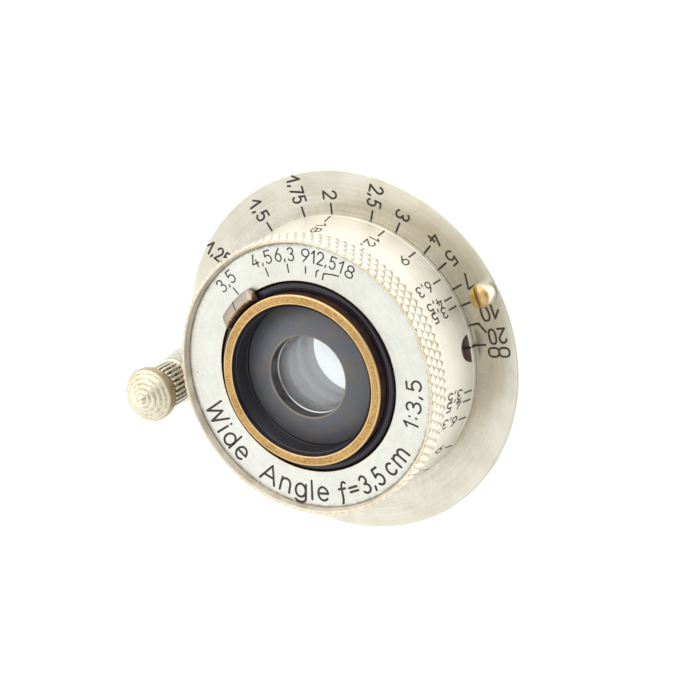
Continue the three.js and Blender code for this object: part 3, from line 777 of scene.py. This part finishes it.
def sector_shell(inner, outer, z0, z1, angle, half, bevel=0.12, steps=24):
    """A sector of a ring with rounded edges, lofted from one end to the other."""
    shell = Shell()
    profile = fillet([
        (inner, z0, bevel, 0.5, 0.3), (outer, z0, bevel, 0.8), (outer, z1, bevel, 0.8),
        (inner, z1, bevel, 0.5, 0.3),
    ])
    middle_r, middle_z = (inner + outer) / 2, (z0 + z1) / 2
    turns = [(-half, 0.93), (-half + 0.12, 0.98), (-half + 0.35, 1.0)]
    turns += [(-half + 0.35 + (2 * half - 0.7) * i / steps, 1.0) for i in range(1, steps)]
    turns += [(half - 0.35, 1.0), (half - 0.12, 0.98), (half, 0.93)]
    rows = []
    for turn, size in turns:
        row = []
        for r, z, wear, grime_and_shade in profile:
            shrunk_r = middle_r + (r - middle_r) * (1 - (1 - size) * 0.5)
            shrunk_z = middle_z + (z - middle_z) * size
            edge = max(wear, 0.7 if size < 1 else 0.0)
            row.append(((*polar(shrunk_r, angle + turn), shrunk_z), edge, grime_and_shade))
        rows.append(row)
    start = shell.grid(rows, loop_u=False)
    count = len(profile)
    shell.faces.append(tuple(range(start, start + count)))
    shell.faces.append(tuple(reversed(range(start + (len(rows) - 1) * count, start + len(rows) * count))))
    shell.marks += [0, 0]
    return shell


def make_lever():
    x, y = HEAD_AT.x, HEAD_AT.y
    shell = sector_shell(18.1, 23.4, 2.12, 3.7, LEVER_ANGLE, 11.4)
    turned(shell, [
        (0.6, 2.2), (3.4, 2.2, 0.1, 0.4), (3.6, 2.4, 0.08, 0.4), (3.16, HOUSING_TOP, 0.1, 0.5),
        (2.6, HOUSING_TOP, 0.05, 0, 0.8), (2.6, 9.6), (2.0, 9.6), (2.0, 3.4), (0.6, 3.4),
    ], 96, (x, y))
    shell.build("lever", "lever", "focus_ring", ["focus_lever"], "nickel")


FLUTES = 28


def make_grip_sleeve():
    """The fluted sleeve under the button, with a plain collar at its foot."""
    x, y = HEAD_AT.x, HEAD_AT.y
    steps = 8
    foot, top = HOUSING_TOP + 0.06, SLEEVE_TOP
    levels = [
        (2.65, foot, 0), (2.98, foot, 0), (3.06, foot + 0.08, 0), (3.06, foot + 0.62, 0),
        (3.02, foot + 0.72, 0), (3.02, foot + 0.78, 0.25), (3.02, foot + 0.95, 1), (3.02, 8.0, 1),
        (3.02, 9.2, 1), (3.02, top - 0.3, 1), (2.99, top - 0.12, 0.85), (2.9, top, 0.6), (2.65, top, 0),
    ]
    rows = []
    for radius, z, share in levels:
        row = []
        for j in range(FLUTES * steps):
            wave = 0.5 - 0.5 * math.cos(2 * math.pi * j / steps)
            groove = max(0.0, wave - 0.35) / 0.65
            r = radius - 0.28 * groove * share
            point = polar(r, j * 360 / (FLUTES * steps))
            # The flutes' grooves are darkened: painted shade, with some dirt.
            row.append(((point[0] + x, point[1] + y, z), 0.35 * (1 - groove), 2.2 * groove * share))
        rows.append(row)
    shell = Shell()
    shell.grid(rows)
    shell.build("fluted_sleeve", "nickel", "focus_ring", ["grip_sleeve"], "nickel")


def make_button():
    """The stepped button, a low cone of five rings with a small point."""
    front = HEAD_TIP - 1.95
    outline = [
        (0.0, HEAD_REAR), (1.25, HEAD_REAR), (3.42, HEAD_REAR, 0.08, 0.3),
        (HEAD_R, HEAD_REAR + 0.2, 0.1, 0.3), (HEAD_R, front - 0.2, 0.2, 0.3), (3.3, front, 0.14, 0.3, 0.1),
    ]
    for radius, height in ((2.95, 0.37), (2.35, 0.78), (1.75, 1.16), (1.15, 1.48), (0.55, 1.74)):
        # The crease under each step is darkened: painted shade, with some dirt.
        outline.append((radius + 0.06, front + height - 0.3, 0.12, 0.0, 0.5))
        outline.append((radius, front + height - 0.1, 0.2, 0.2))
        outline.append((radius - 0.2, front + height, 0.16, 0.2))
    outline += [
        (0.36, front + 1.8, 0.06, 0.2, 0.5), (0.3, HEAD_TIP, 0.05, 0.5), (0.16, HEAD_TIP - 0.03, 0.04),
        (0.0, HEAD_TIP - 0.1, 0.0, 0.0, 1.0),
    ]

    # The underside band takes the dark rim_wall lacquer as a painted shadow under the head; the side wall
    # takes knob_side, a darker browner copy of the knob's nickel, as painted shade.
    def finish(r, z):
        if z < HEAD_REAR + 0.16:
            return 2
        return 1 if r > 3.5 and z < front - 0.1 else 0

    shell = turned(Shell(), outline, 128, (HEAD_AT.x, HEAD_AT.y), closed=False, slot=finish)
    finishes = ["knob", "knob_side", "rim_wall"]
    shell.build("stepped_button", finishes, "lock_button", ["button_head"], "nickel")


# ---- the moving unit's outside -------------------------------------------------------------------

NOTCH_R = 1.8


def make_depth_ring():
    outline = [
        (17.25, CONE_REAR), (CONE_REAR_R, CONE_REAR, 0.05, 0.1), (CONE_FRONT_R, CONE_FRONT, 0.05, 0.2, 0.5),
        (15.9, CONE_FRONT), (15.9, 5.25), (17.25, 5.25),
    ]
    slope_steps = 12
    walls = [outline[0], outline[1]]
    for i in range(1, slope_steps):
        z = CONE_REAR + (CONE_FRONT - CONE_REAR) * i / slope_steps
        walls.append((cone_radius(z), z))
    walls += outline[2:]

    def notch(r, z, angle):
        across = r * math.sin(math.radians(angle - INDEX_ANGLE))
        if abs(across) >= NOTCH_R or math.cos(math.radians(angle)) < 0:
            return r, z
        floor = CONE_REAR + math.sqrt(NOTCH_R ** 2 - across ** 2)
        if z >= floor:
            return r, z
        outside = r > 17.3 and z > CONE_REAR - 0.01
        return (r + (cone_radius(floor) - cone_radius(z)) if outside else r), floor

    edge = math.degrees(math.asin(NOTCH_R / CONE_REAR_R))
    extra = [INDEX_ANGLE + sign * (edge - step) for sign in (-1, 1) for step in (0.0, 0.03, 0.1, 0.2, 0.35)]
    ring("depth_ring", walls, "cone", "optical_unit", ["depth_scale_ring"], segments=360, carve=notch,
         extra=extra)


DEPTH_CENTRE = -0.6

# Aperture number and how far from the index its depth-of-field marks stand, in degrees.
STOPS = [("3,5", 17.4), ("4,5", 21.3), ("6,3", 29.4), ("9", 43.9), ("12,5", 59.2), ("18", 83.7)]


def make_depth_scale():
    ink = Engraving()
    height = 1.32
    for label, spread in STOPS:
        for side in (-1, 1):
            angle = side * spread + DEPTH_CENTRE
            ink.stroke([(0.0, 0.0), (1.35, 0.0)], 0.12, on_cone(CONE_REAR + 0.22, angle, 0.0))
            digits = len(label.replace(",", ""))
            span = 1.15 * digits + 0.18 * (digits - 1) + (0.22 if "," in label else 0.0)
            ink.text(label, height, span, 0.105, on_cone(CONE_REAR + 2.1, angle, height))
    ink.build("depth_scale", "optical_unit", "pale_ink")


DIAMONDS = 95
DIAMOND_LENGTH = 2.2
KNURL_DEPTH = 0.32


def make_knurled_ring():
    """The ring with crossed knurling, and a thin worn edge in front."""
    per_diamond = 8
    columns = DIAMONDS * per_diamond
    start, stop = GRIP_REAR + 0.12, RIM_Z - 0.05
    count = 36
    rows = []

    def smooth_row(r, z, wear, grime_and_shade):
        rows.append([((*polar(r, j * 360 / columns), z), wear, grime_and_shade) for j in range(columns)])

    smooth_row(15.9, GRIP_REAR, 0, 0)
    smooth_row(GRIP_R - 0.55, GRIP_REAR, 0, 0.3)
    smooth_row(GRIP_R - 0.38, GRIP_REAR + 0.03, 0.3, 0.5)
    for i in range(count + 1):
        z = start + (stop - start) * i / count
        row = []
        for j in range(columns):
            u = j / per_diamond
            v = (z - GRIP_REAR) / DIAMOND_LENGTH
            first = abs(((u + v) % 1.0) - 0.5) * 2
            second = abs(((u - v) % 1.0) - 0.5) * 2
            peak = 1 - max(first, second)
            rise = math.sqrt(1 - (1 - peak) ** 2)
            r = GRIP_R - KNURL_DEPTH * (1 - rise)
            near_rim = max(0.0, (z - (RIM_Z - 0.6)) / 0.6)
            wear = 0.15 * rise + 0.3 * near_rim * rise
            # The grooves between the diamonds are darkened: painted shade, with some dirt.
            row.append(((*polar(r, j * 360 / columns), z), wear, 1.0 * max(0.0, 0.62 - rise)))
        rows.append(row)
    edge = [math.hypot(*point[:2]) for point, _, _ in rows[-1]]
    for step, z in ((0.05, RIM_Z - 0.01), (0.1, RIM_Z)):
        rows.append([((*polar(r - step, j * 360 / columns), z), 0.62, 0) for j, r in enumerate(edge)])
    smooth_row(17.58, RIM_Z, 0.5, 0)
    wall = len(rows)
    smooth_row(17.5, RIM_Z - 0.05, 0.3, 0.2)
    smooth_row(17.4, PLATE_Z + 0.28, 0.2, 0.2)
    smooth_row(17.25, PLATE_Z + 0.04, 0.0, 0.2)
    smooth_row(17.25, 11.95, 0, 0)
    smooth_row(15.9, 11.95, 0, 0)
    shell = Shell()
    shell.grid(rows, slot=lambda i, j: 1 if wall <= i < wall + 2 else 0)
    finishes = ["knurl", "rim_inside"]
    shell.build("knurled_grip", finishes, "optical_unit", ["knurled_ring"], "nickel", sharp=60)


def make_face_plate():
    outline = [
        (12.46, 12.0), (17.2, 12.0), (17.2, PLATE_Z - 0.04, 0.04, 0, 0.4), (17.05, PLATE_Z, 0.06, 0, 0.45),
        (16.4, PLATE_Z, 0.0, 0, 0.05),
        (12.46, PLATE_Z, 0.06, 0.7, 0.2),
    ]
    ring("engraved_plate", outline, "plate", "optical_unit", ["face_plate"], segments=360)


# Aperture marks: angle, inner and outer radius of the mark, then the number's first and last angle.
APERTURE_MARKS = [
    ("3,5", 123.2, 13.55, 14.6, 129.3, 118.7),
    ("4,5", 100.5, 13.55, 14.6, 106.5, 95.5),
    ("6,3", 87.7, 13.55, 14.6, 93.5, 83.5),
    ("9", 77.5, 13.55, 14.4, 79.5, 75.5),
    ("12,5", 71.3, 13.4, 14.1, 74.5, 62.0),
    ("18", 67.2, 13.3, 14.1, 60.5, 52.5),
]


def make_plate_engraving():
    ink = Engraving()
    number_r, number_height, thin = 15.05, 1.6, 0.09
    for label, angle, inner, outer, first, last in APERTURE_MARKS:
        ink.stroke([(0.0, 0.0), (outer - inner, 0.0)], thin, inward_face(PLATE_Z, angle, outer, 0.0))
        span = math.radians(first - last) * number_r
        ink.text(label, number_height, span, thin, on_face(PLATE_Z, first, number_r))
    hook = on_face(PLATE_Z, 71.3, 14.1)
    ink.stroke([(0.0, 0.0), (0.28, 0.2)], thin, hook)
    leader = on_face(PLATE_Z, 67.2, 14.1)
    ink.stroke([(0.0, 0.0)] + [(0.25 * i, 0.06 * i) for i in range(1, 9)], thin, leader)
    words = [
        ("Wide", 2.6, -170.0, -139.0), ("Angle", 2.5, -128.5, -91.5), ("f", 2.3, -86.0, -81.2),
        ("=", 2.3, -79.6, -74.8), ("3,5", 2.25, -72.6, -59.0), ("cm", 2.2, -55.4, -40.6),
        ("1:3,5", 1.95, -28.8, -4.8),
    ]
    for word, caps, first, last in words:
        base, half = (16.35, 0.165) if caps > 2 else (15.95, 0.14)
        span = math.radians(last - first) * base
        ink.text(word, caps, span, half, on_face(PLATE_Z, first, base, 1, -1))
    ink.build("plate_engraving", "optical_unit")


# ---- the barrel, the cells and the glasses -------------------------------------------------------

def make_barrel():
    threaded_ring(
        "helicoid", [(14.0, 6.0), (14.0, SLEEVE_REAR + 0.15), (14.15, SLEEVE_REAR), (15.1, SLEEVE_REAR),
                     (15.25, SLEEVE_REAR + 0.15), (15.25, -2.0)],
        (16.7, 0.3, 0.9, -2.0, 3.0),
        [(16.2, 3.1), (16.2, 5.2), (15.8, 5.2), (15.8, 9.2), (15.1, 9.2), (15.1, 6.0)],
        "brass", "optical_unit", ["helicoid_sleeve"], lead_in=0.3)
    ring("barrel", [
        (10.3, 1.6, 0.06, 0.6), (11.1, 1.6, 0.06, 0.6), (11.1, 6.05), (15.0, 6.05), (15.0, 7.4), (11.1, 7.4),
        (11.1, 12.3), (10.3, 12.3),
    ], "brass", "optical_unit", ["main_barrel"], segments=180, slot_name="inner_brass")


def make_front_cell():
    fit = 10.24
    outline = [
        (5.6, 9.6), (fit, 9.6), (fit, 12.4), (CELL_R, 12.4), (CELL_R, 14.33, 0.08, 0.9),
        (CELL_R - 0.12, CELL_FRONT, 0.06, 0.9), (9.98, CELL_FRONT, 0.07, 0.9), (9.6, 14.08, 0.05, 0.3, 0.9),
    ]
    pitch, depth, top, bottom = 0.45, 0.13, 13.95, 11.4
    turns = round((top - bottom) / pitch)
    for i in range(turns):
        outline.append((9.46, top - i * pitch, 0.03))
        outline.append((9.46 + depth, top - (i + 0.5) * pitch, 0.03))
    outline += [(9.45, 11.3), (9.45, 10.95), (6.45, 10.95), (6.45, 10.1), (5.6, 10.1)]

    def finish(r, z):
        if r > 10.4:
            return 0 if z > CELL_FRONT - 0.3 else 2
        if z > CELL_FRONT - 0.4:
            return 0 if r > 9.93 else 3
        return 1

    ring("cell_rim", outline, ["rim_brass", "inner_black", "rim_wall", "iris_dark"], "optical_unit",
         ["front_cell"], segments=300, slot=finish, slot_name="worn_brass")

    def retainer_finish(r, z):
        if z > 12.52 and r < 5.5:
            return 1
        if r > 6.2 or z > 12.5:
            return 0
        return 3 if z < 10.92 and r < 5.32 else 2

    ring("cell_retainer", [
        (9.35, 11.0), (9.35, 11.25, 0.05, 0.2), (5.5, 12.6, 0.05, 0.1), (5.4, 12.6), (5.3, 12.5),
        (5.3, 10.9), (5.16, 10.78), (5.16, 10.72), (6.1, 10.72), (6.1, 11.0),
    ], ["grey", "hole_edge", "inner_black", "steel"], "optical_unit", ["front_retainer"], segments=300,
        slot=retainer_finish, slot_name="grey_lacquer")


def glass(name, edge, rear, front, node, finish="glass"):
    """A lens element from its rear and front surfaces, each a vertex height and a radius of curvature.
    Its edge is blackened."""
    steps = 20
    profile = []
    for vertex, radius in (rear, front):
        side = []
        for i in range(steps + 1):
            r = edge * i / steps
            side.append((r, vertex - radius + math.copysign(math.sqrt(radius ** 2 - r ** 2), radius)))
        profile += side if vertex == rear[0] else side[::-1]
    shell = turned(Shell(), profile, 128, closed=False, slot=lambda r, z: 1 if r > edge - 0.01 else 0)
    shell.build(name, [finish, "inner_black"], "optical_unit", [node], "glass")


def make_glasses():
    glass("front_glass", 6.3, (9.95, -90), (11.1, 30), "front_element", "hazy_glass")
    glass("middle_glass", 5.6, (5.22, 50), (5.62, -50), "middle_element")
    glass("rear_inner_glass", 5.6, (3.7, 20), (4.1, -60), "rear_inner_element")
    glass("rear_outer_glass", 5.6, (2.02, -30), (3.67, 20), "rear_outer_element")


KEY_ANGLES = (90, 270)  # of the two keys that keep the follower cam from turning
KEY_HALF = 1.1


def make_rear():
    ring("rear_cell_turned", [
        (5.15, 4.4), (5.7, 4.4), (5.7, 2.0), (7.0, 2.0), (7.0, 1.3, 0.08, 0.8), (10.24, 1.3, 0.08, 0.6),
        (10.24, 4.5), (5.15, 4.5),
    ], "grey", "optical_unit", ["rear_cell"], segments=180, slot_name="grey_lacquer")
    ring("rear_ring", [
        (5.2, 1.35, 0.06, 0.6), (6.9, 1.35, 0.06, 0.4), (6.9, 1.95), (5.65, 1.95), (5.65, 2.4), (5.2, 2.4),
    ], "black", "optical_unit", ["rear_retainer"], segments=180, slot_name="black_lacquer")

    def grooves(r, z, angle):
        for key in KEY_ANGLES:
            turn = math.radians(angle - key)
            if abs(r * math.sin(turn)) < KEY_HALF and math.cos(turn) > 0:
                return min(r, 15.95), z
        return r, z

    half = math.degrees(math.asin(KEY_HALF / 16.6))
    turns = [sign * (half + nudge) for sign in (-1, 1) for nudge in (-0.02, 0.02)]
    extra = [key + turn for key in KEY_ANGLES for turn in turns]
    ring("follower_cam", [
        (15.4, CAM_REAR, 0.1, 0.9), (16.6, CAM_REAR, 0.1, 0.9), (16.6, CAM_FRONT, 0.06, 0.5),
        (15.4, CAM_FRONT, 0.06, 0.5),
    ], "brass", "rangefinder_cam", ["rangefinder_cam_ring"], segments=240, carve=grooves, extra=extra,
        slot_name="inner_brass")


# ---- the iris ------------------------------------------------------------------------------------

def make_iris():
    ring("aperture_ring", [
        (11.25, 7.7), (12.34, 7.7), (12.34, 12.35), (12.31, 12.5), (12.22, 12.64), (12.1, 12.74),
        (11.98, 12.79), (11.64, 12.86), (11.3, 12.93, 0.04), (11.25, 12.9),
    ], ["iris_dark", "black"], "iris_ring", ["iris_setting_ring"], segments=300, slot_name="black_lacquer",
        slot=lambda r, z: 1 if 11.6 < r < 12.05 else 0)
    make_tab()


TAB_HALF = 14.0
TAB_INNER, TAB_RIDGE, TAB_OUTER = 11.42, 12.06, 13.26


def tab_top(radius):
    """Height of the tab's upper side: a ridge with a narrow inner slope and a wide outer one."""
    if radius < TAB_RIDGE:
        return TAB_FRONT - 0.55 * (TAB_RIDGE - radius) / (TAB_RIDGE - TAB_INNER)
    return TAB_FRONT - 0.82 * (radius - TAB_RIDGE) / (TAB_OUTER - TAB_RIDGE)


def make_tab():
    corner, steps = 3.4, 40
    bands = [TAB_INNER, TAB_INNER + 0.05, TAB_RIDGE - 0.12, TAB_RIDGE, TAB_RIDGE + 0.14, TAB_RIDGE + 0.5,
             TAB_OUTER - 0.1, TAB_OUTER]
    rows = []
    for i in range(steps + 1):
        turn = -TAB_HALF + 2 * TAB_HALF * i / steps
        past = max(0.0, abs(turn) - (TAB_HALF - corner)) / corner
        pull = 0.75 * past ** 2
        at_end = i in (0, steps)
        row = []
        for index, radius in enumerate(bands):
            share = (radius - TAB_INNER) / (TAB_OUTER - TAB_INNER)
            reach = radius - pull * share
            z = tab_top(radius) - (0.04 if at_end or index in (0, len(bands) - 1) else 0.0)
            wear = 0.62 if index in (0, 2, 3, len(bands) - 1) or at_end else 0.0
            row.append(((*polar(reach, TAB_ANGLE + turn), z), wear, 0.0))
        for radius in (TAB_OUTER, TAB_INNER):
            share = (radius - TAB_INNER) / (TAB_OUTER - TAB_INNER)
            row.append(((*polar(radius - pull * share, TAB_ANGLE + turn), TAB_REAR), 0.1, 0.4))
        rows.append(row)
    shell = Shell()
    start = shell.grid(rows, slot=lambda i, j: 1 if j < 2 else 0, loop_u=False)
    count = len(rows[0])
    shell.faces.append(tuple(range(start, start + count)))
    shell.faces.append(tuple(reversed(range(start + steps * count, start + (steps + 1) * count))))
    shell.marks += [2, 2]
    shell.build("aperture_tab", ["tab", "tab_side", "brown"], "iris_ring", ["iris_tab"], "nickel")
    ink = Engraving()

    def outer_slope(along, up):
        radius = TAB_OUTER - along
        x, y = polar(radius, TAB_ANGLE - math.degrees(up / radius))
        return Vector((x, y, tab_top(radius))), Vector((0, 0, 1))

    ink.stroke([(0.06, 0.0), (TAB_OUTER - TAB_RIDGE - 0.04, 0.0)], 0.09, outer_slope)
    ink.build("aperture_index", "iris_ring")


# ---- finishes of the CAD pieces that stay --------------------------------------------------------

def paint_the_rest():
    for name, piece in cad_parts.items():
        if piece.hide_render:
            continue
        if name.startswith("iris_blade") or name in ("iris_cam_ring", "blade_base_ring"):
            finish = "blade"
        elif name in ("middle_cell",):
            finish = "inner_black"
        elif name == "barrel_lock_ring":
            finish = "brass"
        elif name == "infinity_catch":
            finish = "nickel"
        else:
            finish = "steel"
        for slot in piece.material_slots:
            slot.link = "DATA"
            slot.material = look[finish]


# ---- the stage -----------------------------------------------------------------------------------

# Patches of the light tent: direction, edge and core in degrees from it, and strength.
TENT = [
    ((0.0, 0.0, 1.0), 179.9, 100, 0.95),
    ((-0.6, 0.15, 0.78), 75, 15, 0.55),
    ((0.1, 0.95, 0.3), 60, 20, 1.0),
    ((0.51, 0.22, 0.83), 34, 12, -0.85),
    ((-0.27, 0.0, 0.96), 11, 7, -1.35),
]


def make_stage():
    size = 3.0
    mesh = bpy.data.meshes.new("floor")
    z = FLOOR_Z * MM
    corners = [(-size, -size, z), (size, -size, z), (size, size, z), (-size, size, z)]
    mesh.from_pydata(corners, [], [(0, 1, 2, 3)])
    look["floor"] = pale_floor()
    mesh.materials.append(look["floor"])
    floor = bpy.data.objects.new("floor", mesh)
    bpy.context.scene.collection.objects.link(floor)


def make_light():
    """A white tent: brightest above and to the left, dimmer low down, with dark gaps in front."""
    world = bpy.data.worlds.new("studio")
    world.use_nodes = True
    sky = Nodes(world.node_tree)
    direction = sky.node("ShaderNodeTexCoord").outputs["Generated"]
    total = 0.0
    for towards, edge, core, strength in TENT:
        inputs = {0: direction, 1: Vector(towards).normalized()}
        facing = sky.node("ShaderNodeVectorMath", inputs, operation="DOT_PRODUCT").outputs["Value"]
        low, high = math.cos(math.radians(edge)), math.cos(math.radians(core))
        total = sky.plus(total, sky.remap(facing, low, high, 0.0, strength))
    background = sky.tree.nodes["Background"]
    sky.put(background.inputs["Strength"], total)
    background.inputs["Color"].default_value = (0.97, 0.985, 1.0, 1.0)
    bpy.context.scene.world = world


def make_camera():
    """The camera of the picture: a short telephoto, 56 degrees above the floor."""
    right = Vector((0.85830, -0.19632, -0.47410))
    up = Vector((0.05843, 0.95530, -0.28980))
    back = Vector((0.50980, 0.22104, 0.83141))
    data = bpy.data.cameras.new("camera")
    data.lens = 115.714
    data.sensor_width = 36.0
    data.clip_start = 0.01
    data.clip_end = 20.0
    camera = bpy.data.objects.new("camera", data)
    turn = Matrix((right, up, back)).transposed().to_4x4()
    camera.matrix_world = Matrix.Translation(Vector((147.79, 64.19, 242.39)) * MM) @ turn
    bpy.context.scene.collection.objects.link(camera)
    bpy.context.scene.camera = camera


make_camera()
make_stage()
make_light()
make_mount()
make_index_ring()
make_lever()
make_grip_sleeve()
make_button()
make_depth_ring()
make_depth_scale()
make_knurled_ring()
make_face_plate()
make_plate_engraving()
make_barrel()
make_front_cell()
make_glasses()
make_rear()
make_iris()
paint_the_rest()
bpy.context.scene.view_settings.view_transform = "Standard"
bpy.context.view_layer.update()
